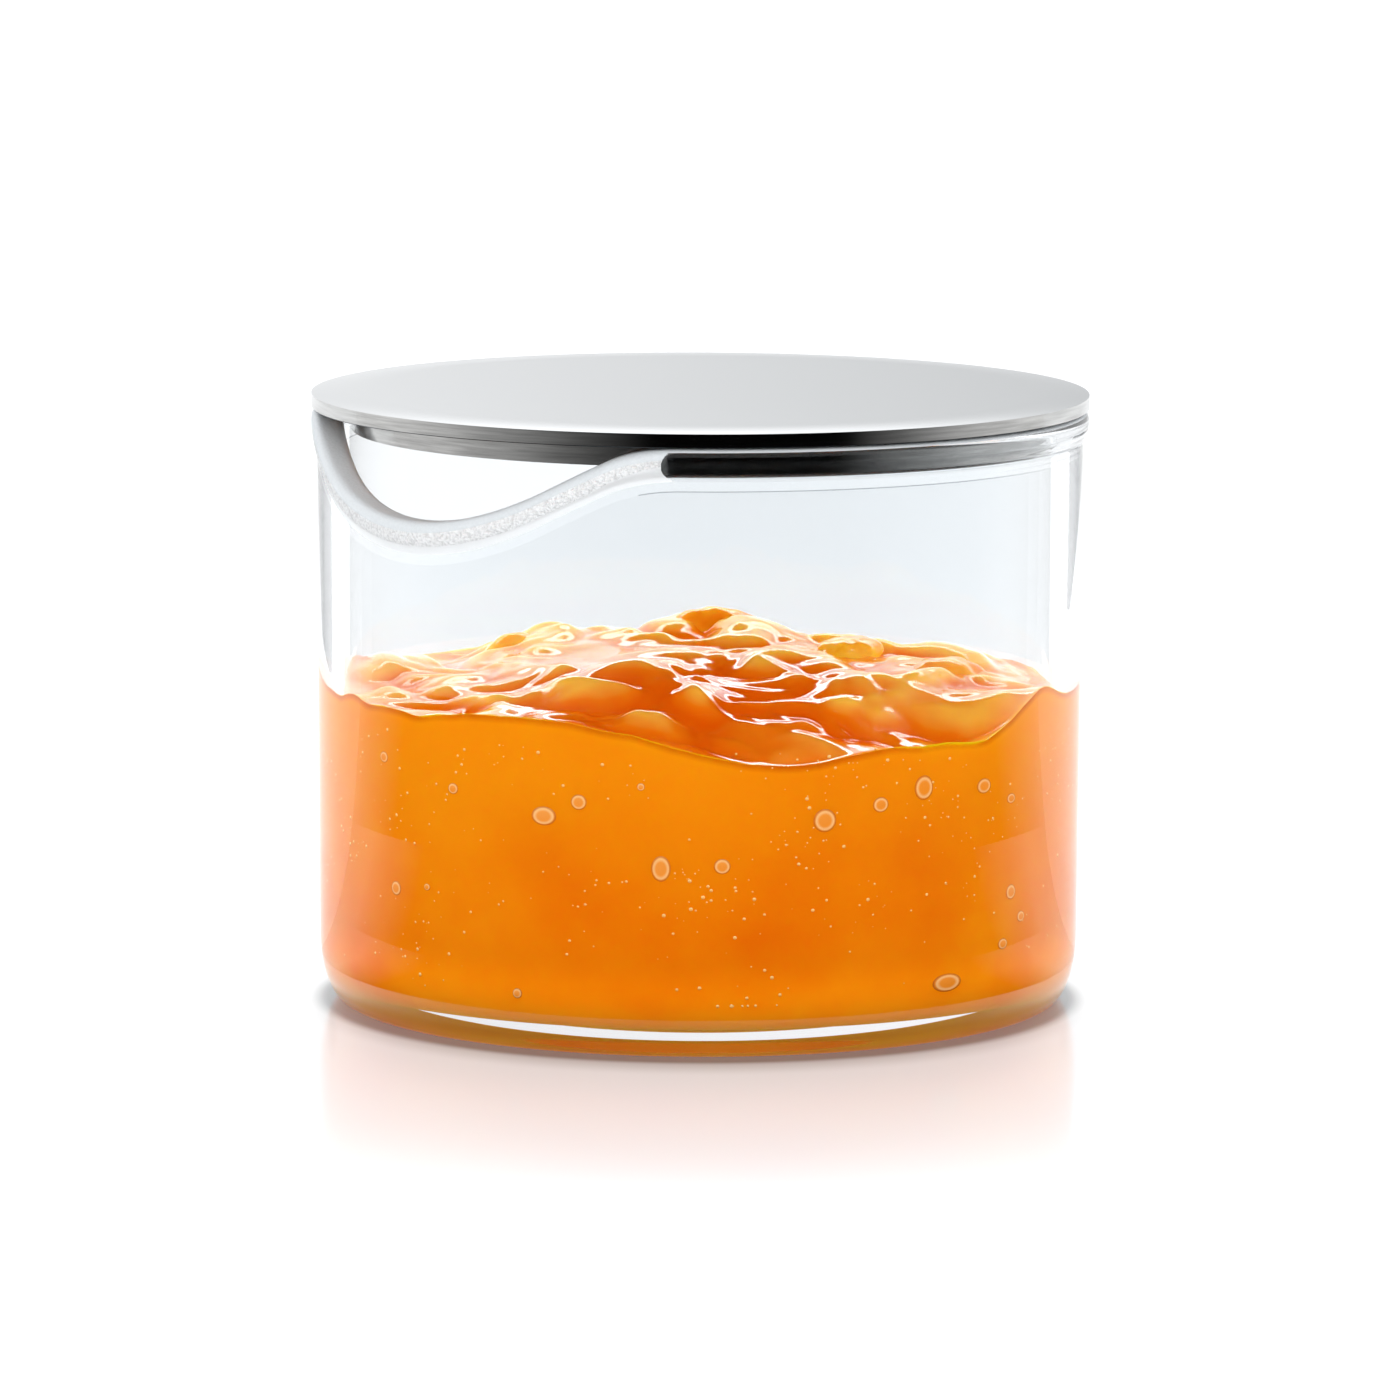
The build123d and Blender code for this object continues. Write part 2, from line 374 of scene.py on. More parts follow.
BEAD_FOOT = RIM_HEIGHT - BEAD_DROP
FLOOR_RUN = SCOOP_FLOOR_RADIUS * math.sin(SCOOP_FLANK)
FLOOR_RISE = SCOOP_FLOOR_RADIUS * (1 - math.cos(SCOOP_FLANK))
SHOULDER_RUN = SCOOP_SHOULDER_RADIUS * math.sin(SCOOP_FLANK)
SHOULDER_RISE = SCOOP_SHOULDER_RADIUS * (1 - math.cos(SCOOP_FLANK))
FLANK_RUN = (SCOOP_DEPTH - FLOOR_RISE - SHOULDER_RISE) / math.tan(SCOOP_FLANK)
SCOOP_HALF_WIDTH = FLOOR_RUN + FLANK_RUN + SHOULDER_RUN
SCOOP_REACH = math.asin(SCOOP_HALF_WIDTH / BEAD_CENTRE)


# Mesh helpers

def new_object(name, data):
    """New object in the scene, from its data."""
    made = bpy.data.objects.new(name, data)
    bpy.context.scene.collection.objects.link(made)
    return made


def mesh_piece(name, points, faces, materials, face_slots=None, sharp_angle=None):
    """New object from points in millimetres, smooth shaded."""
    mesh = bpy.data.meshes.new(name)
    mesh.from_pydata([tuple(c * MM for c in p) for p in points], [], faces)
    for material in materials:
        mesh.materials.append(material)
    if face_slots is not None:
        mesh.polygons.foreach_set("material_index", face_slots)
    mesh.polygons.foreach_set("use_smooth", [True] * len(mesh.polygons))
    if sharp_angle is not None:
        mesh.set_sharp_from_angle(angle=math.radians(sharp_angle))
    mesh.update()
    return new_object(name, mesh)


def point_values(piece, name, values):
    """Number for each point of a piece, which its material reads by name."""
    layer = piece.data.attributes.new(name, "FLOAT", "POINT")
    layer.data.foreach_set("value", values)


def even_angles(count):
    """Angles that divide a full turn evenly."""
    return [2 * math.pi * index / count for index in range(count)]


def turned_shell(sections, angles):
    """Points and faces of a closed shell from one half section per angle, pole to pole.

    Every section is a list of (radius, height) with its first and last point on the axis.
    """
    columns = len(sections)
    rows = len(sections[0]) - 2
    points = [(0.0, 0.0, sections[0][0][1])]
    for angle, section in zip(angles, sections):
        for radius, height in section[1:-1]:
            points.append((radius * math.sin(angle), -radius * math.cos(angle), height))
    points.append((0.0, 0.0, sections[0][-1][1]))
    last = len(points) - 1
    faces = []
    for column in range(columns):
        here = 1 + column * rows
        there = 1 + (column + 1) % columns * rows
        faces.append((0, there, here))
        for row in range(rows - 1):
            faces.append((here + row, there + row, there + row + 1, here + row + 1))
        faces.append((here + rows - 1, there + rows - 1, last))
    return points, faces


def arc(centre, radii, start, end, count):
    """Points of an elliptic arc without its first point, angles in degrees."""
    points = []
    for step in range(1, count + 1):
        angle = math.radians(start + (end - start) * step / count)
        points.append((centre[0] + radii[0] * math.cos(angle), centre[1] + radii[1] * math.sin(angle)))
    return points


def line(start, end, count):
    """Points of a straight run without its first point."""
    return [
        tuple(a + (b - a) * step / count for a, b in zip(start, end))
        for step in range(1, count + 1)
    ]


def ease(start, end, count):
    """Points of an S-shaped run without its first point, level at both ends."""
    points = []
    for step in range(1, count + 1):
        share = step / count
        rise = share * share * (3 - 2 * share)
        points.append((start[0] + (end[0] - start[0]) * share, start[1] + (end[1] - start[1]) * rise))
    return points


# Glass pot

def wall_radius(height):
    """Outer radius of the slightly tapered wall at a height."""
    taper = (WALL_TOP_RADIUS - WALL_FOOT_RADIUS) / (BEAD_FOOT - BASE_CORNER_HEIGHT)
    return WALL_FOOT_RADIUS + taper * (height - BASE_CORNER_HEIGHT)


def rim_top(x):
    """Height of the rim's edge at a distance x from the middle of the scoop."""
    bottom = RIM_HEIGHT - SCOOP_DEPTH
    x = abs(x)
    if x < FLOOR_RUN:
        return bottom + SCOOP_FLOOR_RADIUS * (1 - math.cos(math.asin(x / SCOOP_FLOOR_RADIUS)))
    if x < FLOOR_RUN + FLANK_RUN:
        return bottom + FLOOR_RISE + (x - FLOOR_RUN) * math.tan(SCOOP_FLANK)
    rest = max(SCOOP_HALF_WIDTH - x, 0.0)
    return RIM_HEIGHT - SCOOP_SHOULDER_RADIUS * (1 - math.cos(math.asin(rest / SCOOP_SHOULDER_RADIUS)))


def sweep_out(top, count):
    """Two arcs from the wall up and out to the bead's outer face, without their first point."""
    foot = (wall_radius(top - BEAD_DROP), top - BEAD_DROP)
    half_run = (RIM_RADIUS - foot[0]) / 2
    half_rise = (BEAD_DROP - BEAD_LEVEL) / 2
    radius = (half_run ** 2 + half_rise ** 2) / (2 * half_run)
    turn = math.degrees(math.asin(half_rise / radius))
    points = arc((foot[0] + radius, foot[1]), (radius, radius), 180, 180 - turn, count // 2)
    points += arc((RIM_RADIUS - radius, top - BEAD_LEVEL), (radius, radius), -turn, 0, count // 2)
    return points


def glass_section(angle):
    """Half section of the glass at an angle from the middle of the scoop, underside to floor.

    Each point comes with the zone of the surface that leads up to it.
    Each run ends with its count of rows.
    """
    top = rim_top(BEAD_CENTRE * math.sin(angle)) if math.cos(angle) > 0 else RIM_HEIGHT
    foot = top - BEAD_DROP
    lip = foot - BEAD_LIP
    lip_line = lip + BEAD_LINE
    edge = top - RIM_EDGE_RADIUS
    recess_edge = BASE_RING_RADIUS - BASE_RECESS_RUN
    corner = WALL_FOOT_RADIUS - BASE_CORNER_WIDTH
    floor_edge = BORE_RADIUS - BORE_CORNER_RADIUS
    bore_foot = BASE_THICKNESS + BORE_CORNER_RADIUS
    outer_edge = RIM_RADIUS - RIM_EDGE_RADIUS
    inner_edge = BORE_RADIUS + RIM_EDGE_RADIUS
    edge_radii = (RIM_EDGE_RADIUS,) * 2
    runs = [
        ("clear", line((0.0, BASE_RECESS), (recess_edge, BASE_RECESS), 10)),
        ("clear", ease((recess_edge, BASE_RECESS), (BASE_RING_RADIUS, 0.0), 10)),
        ("clear", line((BASE_RING_RADIUS, 0.0), (corner, 0.0), 2)),
        ("clear", arc((corner, BASE_CORNER_HEIGHT), (BASE_CORNER_WIDTH, BASE_CORNER_HEIGHT), -90, 0, 24)),
        ("clear", line((WALL_FOOT_RADIUS, BASE_CORNER_HEIGHT), (wall_radius(lip), lip), 24)),
        # A painted dark line, then the lip painted bright by a faint glow
        ("line", line((wall_radius(lip), lip), (wall_radius(lip_line), lip_line), 1)),
        ("bright", line((wall_radius(lip_line), lip_line), (wall_radius(foot), foot), 6)),
        ("bead", sweep_out(top, 28)),
        ("bead", line((RIM_RADIUS, top - BEAD_LEVEL), (RIM_RADIUS, edge), 5)),
        ("edge", arc((outer_edge, edge), edge_radii, 0, 90, 12)),
        ("edge", line((outer_edge, top), (inner_edge, top), 4)),
        ("edge", arc((inner_edge, edge), edge_radii, 90, 180, 12)),
        ("clear", line((BORE_RADIUS, edge), (BORE_RADIUS, bore_foot), 30)),
        ("clear", arc((floor_edge, bore_foot), (BORE_CORNER_RADIUS,) * 2, 0, -90, 16)),
        ("clear", line((floor_edge, BASE_THICKNESS), (0.0, BASE_THICKNESS), 10)),
    ]
    turn = abs((angle + math.pi) % (2 * math.pi) - math.pi)
    share = min(max((SCOOP_REACH - turn) / (SHOULDER_SHARE * SCOOP_REACH), 0.0), 1.0)
    half_band = BEAD_DROP / 2 * math.sqrt(1 - min(share / BAND_END, 1.0) ** 2)
    pale_drop = BEAD_DROP / 2 + half_band
    ground_drop = BEAD_DROP / 2 - half_band
    ground_drop += (GROUND_DROP - BEAD_DROP / 2) * max(share - BAND_END, 0.0) / (1 - BAND_END)
    satin_drop = max(ground_drop, SATIN_DROP)
    section = [(0.0, BASE_RECESS)]
    zones = []
    for zone, points in runs:
        section += points
        if zone == "bead":
            for _, height in points:
                if top - height < ground_drop:
                    zones.append("ground")
                else:
                    # Below the clear band the bead is a painted pale patch
                    zones.append("pale" if top - height > pale_drop else "clear")
        elif zone == "edge":
            zones += ["edge" if top - height < satin_drop else "clear" for _, height in points]
        elif zone == "line":
            zones.append("line" if share < LINE_END else "bright")
        else:
            zones += [zone] * len(points)
    return section, zones


def make_glass(materials):
    """Glass pot from a dictionary of a material for each zone."""
    end = SCOOP_REACH * (1 - SHOULDER_SHARE * BAND_END)
    turns = [end + (SCOOP_REACH - end) * index / END_COLUMNS for index in range(END_COLUMNS)]
    angles = sorted(even_angles(COLUMNS) + turns + [2 * math.pi - turn for turn in turns])
    sections = []
    slots = []
    for angle in angles:
        section, zones = glass_section(angle)
        sections.append(section)
        slots += [list(materials).index(zone) for zone in zones]
    points, faces = turned_shell(sections, angles)
    return mesh_piece("glass_pot_clear", points, faces, materials.values(), slots)


# Lid

def make_lid_plate(materials):
    """Flat plate whose top rolls off softly, from materials of its top, its side and the painted shadow line
    at its lower edge.
    """
    low, high = LID_LOW.z, LID_HIGH.z
    side_top = low + LID_SIDE_HEIGHT
    flat_edge = LID_RADIUS - LID_ROLL_OFF_WIDTH
    drop = high - side_top
    section = [(0.0, low)]
    section += line((0.0, low), (LID_RADIUS - LID_EDGE_CHAMFER, low), LID_RINGS)
    under_rows = len(section) - 1
    section += line(section[-1], (LID_RADIUS, low + LID_EDGE_CHAMFER), 1)
    section += line(section[-1], (LID_RADIUS, side_top), LID_SIDE_ROWS)
    side_rows = len(section) - 1
    for step in range(1, LID_ROLL_ROWS + 1):
        share = step / LID_ROLL_ROWS
        section.append((LID_RADIUS - LID_ROLL_OFF_WIDTH * share, high - drop * (1 - share) ** 2))
    section += line((flat_edge, high), (0.0, high), LID_RINGS)
    points, faces = turned_shell([section] * LID_COLUMNS, even_angles(LID_COLUMNS))
    rows = len(section) - 1
    row_slots = [1] * under_rows + [2] + [1] * (side_rows - under_rows - 1) + [0] * (rows - side_rows)
    slots = [row_slots[index % rows] for index in range(len(faces))]
    return mesh_piece("lid_plate_steel", points, faces, materials, slots, LID_SHARP_ANGLE)


def make_lid_disc(material):
    """Disc under the plate."""
    low, high = DISC_LOW.z, DISC_HIGH.z
    section = [(0.0, low)]
    section += line((0.0, low), (DISC_RADIUS, low), DISC_RINGS)
    section += line(section[-1], (DISC_RADIUS, high), LID_SIDE_ROWS)
    section += line((DISC_RADIUS, high), (0.0, high), DISC_RINGS)
    points, faces = turned_shell([section] * LID_COLUMNS, even_angles(LID_COLUMNS))
    return mesh_piece("lid_disc_steel", points, faces, [material], None, LID_SHARP_ANGLE)


# Jam

def make_lumps():
    """Random soft lumps of gel: x, y, half length, half width, turn, height."""
    draw = random.Random(LUMP_SEED)
    lumps = []
    for _ in range(LUMP_COUNT):
        radius = (BORE_RADIUS - LUMP_MARGIN) * math.sqrt(draw.random())
        bearing = draw.uniform(0, 2 * math.pi)
        length = draw.uniform(*LUMP_LENGTHS)
        lumps.append((
            radius * math.sin(bearing),
            -radius * math.cos(bearing),
            length,
            length * draw.uniform(*LUMP_SLIMNESS),
            draw.uniform(0, math.pi),
            draw.uniform(*LUMP_RISES),
        ))
    return lumps


def wander(x, y, scale, layer):
    """Smooth noise over arrays of places."""
    places = zip((x / scale).ravel().tolist(), (y / scale).ravel().tolist())
    values = [noise.noise(Vector((a, b, layer))) for a, b in places]
    return np.array(values).reshape(x.shape)


def soften(field, width):
    """Field blurred by a bell curve of a width in cells."""
    reach = int(3 * width)
    bell = np.exp(-0.5 * (np.arange(-reach, reach + 1) / width) ** 2)
    bell /= bell.sum()
    padded = np.pad(field, reach, mode="edge")
    rows = np.apply_along_axis(np.convolve, 0, padded, bell, "valid")
    return np.apply_along_axis(np.convolve, 1, rows, bell, "valid")


def heap_heights(x, y):
    """Height of the jam's surface without its small lumps."""
    height = np.full_like(x, JAM_LEVEL)
    for heap_x, heap_y, rise, reach in JAM_HEAPS:
        height += rise * np.exp(-((x - heap_x) ** 2 + (y - heap_y) ** 2) / reach ** 2)
    return height


def jam_field():
    """Height of the jam's surface on a square grid of cells, and its painted light and shade there, 0 to 1.
    """
    ticks = np.arange(-JAM_FIELD_HALF, JAM_FIELD_HALF + JAM_CELL / 2, JAM_CELL)
    x, y = np.meshgrid(ticks, ticks, indexing="ij")
    radius = np.hypot(x, y)
    warp_x = x + WARP_SIZE * wander(x, y, WARP_SCALE, WARP_LAYERS[0])
    warp_y = y + WARP_SIZE * wander(x, y, WARP_SCALE, WARP_LAYERS[1])
    relief = np.zeros_like(x)
    for rise, scale, layer, folded in RELIEF_LAYERS:
        values = wander(warp_x, warp_y, scale, layer)
        relief += rise * (np.abs(values) if folded else values)
    lump = np.zeros_like(x)
    for lump_x, lump_y, length, width, turn, rise in make_lumps():
        along = (warp_x - lump_x) * math.cos(turn) + (warp_y - lump_y) * math.sin(turn)
        across = (warp_y - lump_y) * math.cos(turn) - (warp_x - lump_x) * math.sin(turn)
        inside = np.clip(1 - (along / length) ** 2 - (across / width) ** 2, 0, None)
        lump = np.maximum(lump, rise * inside)
    for place in APRICOT_PLACES:
        away = (x - place[0]) ** 2 + (y - place[1]) ** 2
        relief += APRICOT_COVER * np.exp(-away / APRICOT_COVER_REACH ** 2)
    calm = np.clip((radius - CALM_FROM) / (BORE_RADIUS - CALM_FROM), 0, 1)
    pool_x, pool_y, pool_reach = JAM_POOL
    pool = np.exp(-(np.hypot(x - pool_x, y - pool_y) / pool_reach) ** 4)
    relief += lump
    relief -= relief[radius < BORE_RADIUS].mean()
    relief *= (1 - CALM_SHARE * calm * calm * (3 - 2 * calm)) * (1 - POOL_SHARE * pool)
    relief = soften(relief, JAM_SOFTNESS / JAM_CELL)
    # Painted light on crests and painted shade in a hollow
    crest = relief - soften(relief, CREST_WIDTH / JAM_CELL)
    hollow_x, hollow_y, hollow_reach = JAM_SHADED_HOLLOW
    painted_dark = np.exp(-((x - hollow_x) ** 2 + (y - hollow_y) ** 2) / hollow_reach ** 2)
    painted_light = np.clip(PAINTED_LIGHT_LEVEL + CREST_PAINTED_LIGHT * crest - HOLLOW_PAINTED_SHADE * painted_dark, 0, 1)
    meniscus = MENISCUS_RISE * np.exp(np.minimum(radius - BORE_RADIUS, 0) / MENISCUS_REACH)
    return heap_heights(x, y) + relief + meniscus, painted_light


def between_cells(field, x, y):
    """Values of a field at arrays of places, between the cells of its grid."""
    u = (x + JAM_FIELD_HALF) / JAM_CELL
    v = (y + JAM_FIELD_HALF) / JAM_CELL
    i = np.floor(u).astype(int)
    j = np.floor(v).astype(int)
    u, v = u - i, v - j
    near = field[i, j] * (1 - v) + field[i, j + 1] * v
    far = field[i + 1, j] * (1 - v) + field[i + 1, j + 1] * v
    return near * (1 - u) + far * u


def make_jam(side_material, top_material):
    """Jam that fills the bore a hair's breadth into the glass, with its folded surface."""
    surface, painted_light_field = jam_field()
    radius = BORE_RADIUS + JAM_OVERLAP
    floor = BASE_THICKNESS - JAM_OVERLAP
    floor_edge = radius - BORE_CORNER_RADIUS
    angles = even_angles(COLUMNS)
    ring_radii = radius * np.arange(1, JAM_RINGS + 1) / JAM_RINGS
    x = ring_radii[:, None] * np.sin(angles)[None, :]
    y = -ring_radii[:, None] * np.cos(angles)[None, :]
    tops = between_cells(surface, x, y)
    centre = float(between_cells(surface, np.zeros(1), np.zeros(1))[0])
    low = [(0.0, floor)]
    low += line((0.0, floor), (floor_edge, floor), 10)
    low += arc((floor_edge, floor + BORE_CORNER_RADIUS), (BORE_CORNER_RADIUS,) * 2, -90, 0, 14)
    sections = []
    for column in range(COLUMNS):
        edge = float(tops[-1, column])
        section = low + line(low[-1], (radius, edge - JAM_LINE_DROPS[0]), JAM_SIDE_ROWS)
        section += [(radius, edge - drop) for drop in JAM_LINE_DROPS[1:]]
        for ring in range(JAM_RINGS - 2, -1, -1):
            section.append((float(ring_radii[ring]), float(tops[ring, column])))
        section.append((0.0, centre))
        sections.append(section)
    points, faces = turned_shell(sections, angles)
    rows = len(sections[0]) - 1
    side_faces = len(low) - 2 + JAM_SIDE_ROWS + len(JAM_LINE_DROPS)
    slots = [0 if index % rows < side_faces else 1 for index in range(len(faces))]
    piece = mesh_piece("jam_gel", points, faces, [side_material, top_material], slots)
    places = np.array(points)
    point_values(piece, "painted_light", between_cells(painted_light_field, places[:, 0], places[:, 1]))
    # Share of the painted dark line along the top of the side, from its edge down
    edges = np.array(sections)[:, side_faces, 1]
    below = np.full(len(points), JAM_LINE_DROPS[0])
    columns = below[1:-1].reshape(COLUMNS, -1)
    columns[:, :side_faces] = edges[:, None] - places[1:-1, 2].reshape(COLUMNS, -1)[:, :side_faces]
    point_values(piece, "painted_contact_line", np.clip(1 - below / JAM_LINE_DROPS[0], 0, 1))
    return piece


# Fruit and bubbles

def ball(centre, axes, rings, segments):
    """Points and faces of an ellipsoid: three half axes as vectors, poles on the last."""
    points = [centre - axes[2]]
    for ring in range(1, rings):
        polar = math.pi * ring / rings
        for segment in range(segments):
            turn = 2 * math.pi * segment / segments
            side = axes[0] * math.cos(turn) + axes[1] * math.sin(turn)
            points.append(centre + side * math.sin(polar) - axes[2] * math.cos(polar))
    points.append(centre + axes[2])
    last = len(points) - 1
    faces = []
    for segment in range(segments):
        after = (segment + 1) % segments
        faces.append((0, 1 + after, 1 + segment))
        for ring in range(rings - 2):
            low = 1 + ring * segments
            high = low + segments
            faces.append((low + segment, low + after, high + after, high + segment))
        top = 1 + (rings - 2) * segments
        faces.append((top + segment, top + after, last))
    return points, faces


def gather(parts):
    """One list of points and faces from several."""
    points = []
    faces = []
    for more_points, more_faces in parts:
        start = len(points)
        points += more_points
        faces += [tuple(start + index for index in face) for face in more_faces]
    return points, faces


def make_fruit(material):
    """Pieces of apricot half sunk in the jam: ovals with a dented, uneven skin."""
    parts = []
    for index, (x, y, length, thickness, tilt_x, tilt_y, turn) in enumerate(APRICOT_PLACES):
        height = float(heap_heights(np.array([x]), np.array([y]))[0]) - APRICOT_SINK
        angles = (math.radians(tilt_x), math.radians(tilt_y), math.radians(turn))
        spin = Euler(angles, "XYZ").to_matrix()
        axes = [spin @ axis for axis in (
            Vector((length / 2, 0, 0)),
            Vector((0, APRICOT_SLIMNESS * length / 2, 0)),
            Vector((0, 0, thickness / 2)),
        )]
        centre = Vector((x, y, height))
        points, faces = ball(centre, axes, *FRUIT_MESH)
        dented = []
        for point in points:
            away = point - centre
            size = APRICOT_SHRINK
            for depth, scale, step in APRICOT_DENTS:
                size += depth * noise.noise(away / scale + index * Vector(step))
            dented.append(centre + away * size)
        parts.append((dented, faces))
    points, faces = gather(parts)
    return mesh_piece("apricot_chunks", points, faces, [material])


def wall_frame(bearing):
    """Directions out of the jam's side and along it, at a bearing from the camera in degrees."""
    turn = CAMERA_AZIMUTH + math.radians(bearing)
    return Vector((math.sin(turn), -math.cos(turn), 0)), Vector((math.cos(turn), math.sin(turn), 0))


def ring_shades(rings, segments):
    """How near each point of an ellipsoid is to its outline seen along its last axis, 0 to 1."""
    shades = [0.0]
    for ring in range(1, rings):
        shades += [math.sin(math.pi * ring / rings)] * segments
    return shades + [0.0]


def make_bubbles(bubble, speck):
    """Bubbles from the list and groups of random specks, flat against the glass."""
    draw = random.Random(SPECK_SEED)
    wall = BORE_RADIUS + JAM_OVERLAP
    parts = []
    shades = []
    paleness = []
    large = 0
    for bearing, height, width, tall, pale in BUBBLES:
        out, along = wall_frame(bearing)
        centre = out * (wall - BUBBLE_SINK) + UP * height
        parts.append(ball(centre, (along * width / 2, UP * tall / 2, out * BUBBLE_BULGE), *BUBBLE_MESH))
        shades += ring_shades(*BUBBLE_MESH)
        paleness += [pale] * len(parts[-1][0])
        large += len(parts[-1][1])
    for _ in range(SPECK_GROUPS):
        middle = draw.uniform(-180, 180)
        level = draw.uniform(*SPECK_LEVELS)
        for _ in range(draw.randint(1, SPECK_MOST)):
            out, along = wall_frame(middle + draw.gauss(0, SPECK_SPREAD_DEGREES))
            size = SPECK_LEAST_SIZE + SPECK_MORE_SIZE * draw.random() ** 2
            height = level + draw.gauss(0, SPECK_SPREAD_HEIGHT)
            height = min(max(height, SPECK_LIMITS[0]), SPECK_LIMITS[1])
            centre = out * (wall - SPECK_SINK) + UP * height
            parts.append(ball(centre, (along * size, UP * size, out * size * SPECK_FLATNESS), *SPECK_MESH))
            shades += ring_shades(*SPECK_MESH)
            paleness += [1.0] * len(parts[-1][0])
    points, faces = gather(parts)
    slots = [0 if index < large else 1 for index in range(len(faces))]
    piece = mesh_piece("jam_bubbles", points, faces, [bubble, speck], slots)
    point_values(piece, "ring", shades)
    point_values(piece, "pale", paleness)
    return piece


# Shader helpers

def new_material(name):
    """Material with its tree and its shader."""
    material = bpy.data.materials.new(name)
    material.use_nodes = True
    tree = material.node_tree
    return material, tree, tree.nodes["Principled BSDF"]


def settle(made, inputs):
    """Give a node's inputs fixed values, or sockets that they take their values from."""
    for key, value in inputs.items():
        if isinstance(value, bpy.types.NodeSocket):
            made.id_data.links.new(value, made.inputs[key])
        else:
            made.inputs[key].default_value = value


def node(tree, kind, inputs=None, **settings):
    """Node of a kind with its own settings and its inputs."""
    made = tree.nodes.new(kind)
    for key, value in settings.items():
        setattr(made, key, value)
    settle(made, inputs or {})
    return made


def ramp(share, stops):
    """Colour from stops along a share."""
    made = node(share.id_data, "ShaderNodeValToRGB", {"Fac": share})
    elements = made.color_ramp.elements
    while len(elements) < len(stops):
        elements.new(0.5)
    for element, (place, colour) in zip(elements, stops):
        element.position = place
        element.color = (*colour, 1.0)
    return made.outputs["Color"]


def span(value, limits, start=0.0, end=1.0, smooth=True):
    """Value carried from its limits to a start and an end, and held there beyond them."""
    inputs = {"Value": value, "From Min": limits[0], "From Max": limits[1], "To Min": start, "To Max": end}
    kind = "SMOOTHSTEP" if smooth else "LINEAR"
    return node(value.id_data, "ShaderNodeMapRange", inputs, interpolation_type=kind).outputs["Result"]


def mix(share, first, second):
    """Colour between two, each a socket or a fixed colour."""
    inputs = {"Factor": share}
    for key, colour in (("A", first), ("B", second)):
        inputs[key] = (*colour, 1.0) if isinstance(colour, tuple) else colour
    return node(share.id_data, "ShaderNodeMix", inputs, data_type="RGBA").outputs["Result"]


def combine(operation, first, second):
    """Result of an operation on a socket and another socket or a number."""
    made = node(first.id_data, "ShaderNodeMath", {0: first, 1: second}, operation=operation)
    return made.outputs["Value"]


def vector_math(operation, inputs, output="Vector"):
    """Vector or value that an operation on vectors gives."""
    made = node(inputs[0].id_data, "ShaderNodeVectorMath", inputs, operation=operation)
    return made.outputs[output]


def along_direction(vector, direction):
    """How far a vector reaches along a fixed direction."""
    return vector_math("DOT_PRODUCT", {0: vector, 1: direction}, "Value")


def object_place(tree):
    """Place on the object, in its own coordinates."""
    return node(tree, "ShaderNodeTexCoord").outputs["Object"]


def height_of(vector):
    """Upright part of a vector."""
    return node(vector.id_data, "ShaderNodeSeparateXYZ", {"Vector": vector}).outputs["Z"]


def cloud(place, scale, detail):
    """Noise over places, 0 to 1."""
    inputs = {"Vector": place, "Scale": scale, "Detail": detail}
    return node(place.id_data, "ShaderNodeTexNoise", inputs).outputs["Fac"]


def point_value(tree, name):
    """Number that each point of the mesh has under a name."""
    return node(tree, "ShaderNodeAttribute", attribute_name=name).outputs["Fac"]


# Materials

def glass_material(name, colour, transmission, roughness, grain, glow):
    """Glass of a colour that fades at grazing angles, which paints it lighter towards its outline, with a
    fine grain or a faint painted glow.
    """
    material, tree, shader = new_material(name)
    settle(shader, {
        "Base Color": (*colour, 1.0),
        "Roughness": roughness,
        "IOR": 1.48,
        "Transmission Weight": transmission,
        "Specular IOR Level": 0.4,
        "Emission Strength": glow,
    })
    if transmission == 1.0:
        facing = node(tree, "ShaderNodeLayerWeight", {"Blend": 0.5}).outputs["Facing"]
        tint = mix(span(facing, GRAZE_RANGE), colour, (1.0, 1.0, 1.0))
        settle(shader, {"Base Color": tint})
    if grain:
        speckle = cloud(object_place(tree), GLASS_GRAIN_SCALE, 2.0)
        low = tuple((1 - GLASS_GRAIN_SHADE * grain) * c for c in colour)
        tint = ramp(speckle, [(0.35, low), (0.6, colour)])
        bump = node(tree, "ShaderNodeBump", {
            "Strength": grain,
            "Distance": GLASS_GRAIN_DEPTH,
            "Height": speckle,
        })
        settle(shader, {"Base Color": tint, "Normal": bump.outputs["Normal"]})
    return material


def bubble_material(name, stops, outline):
    """Pale skin of a bubble, with painted light and shade by stops from below upwards, a painted highlight
    round its rim and a painted dark outline.
    """
    material, tree, shader = new_material(name)
    normal = node(tree, "ShaderNodeNewGeometry").outputs["Normal"]
    upward = span(height_of(normal), (-1.0, 1.0), smooth=False)
    ring = point_value(tree, "ring")
    film = mix(point_value(tree, "pale"), BUBBLE_FILM_COLOUR, ramp(upward, stops))
    lit = mix(ramp(ring, BUBBLE_HIGHLIGHT_STOPS), film, BUBBLE_HIGHLIGHT_COLOUR)
    painted_dark = span(ring, (BUBBLE_OUTLINE_FROM, 1.0), end=outline)
    tint = mix(painted_dark, lit, BUBBLE_PAINTED_OUTLINE_COLOUR)
    settle(shader, {"Base Color": tint, "Roughness": 0.15, "Specular IOR Level": 0.3})
    return material


def gel(shader, tint):
    """Soft translucent body of the jam and the fruit, coloured by a tint."""
    settle(shader, {
        "Base Color": tint,
        "Emission Color": tint,
        "Subsurface Weight": 1.0,
        "Subsurface Radius": (1.0, 0.6, 0.1),
        "Subsurface Scale": 0.007,
        "IOR": 1.42,
    })


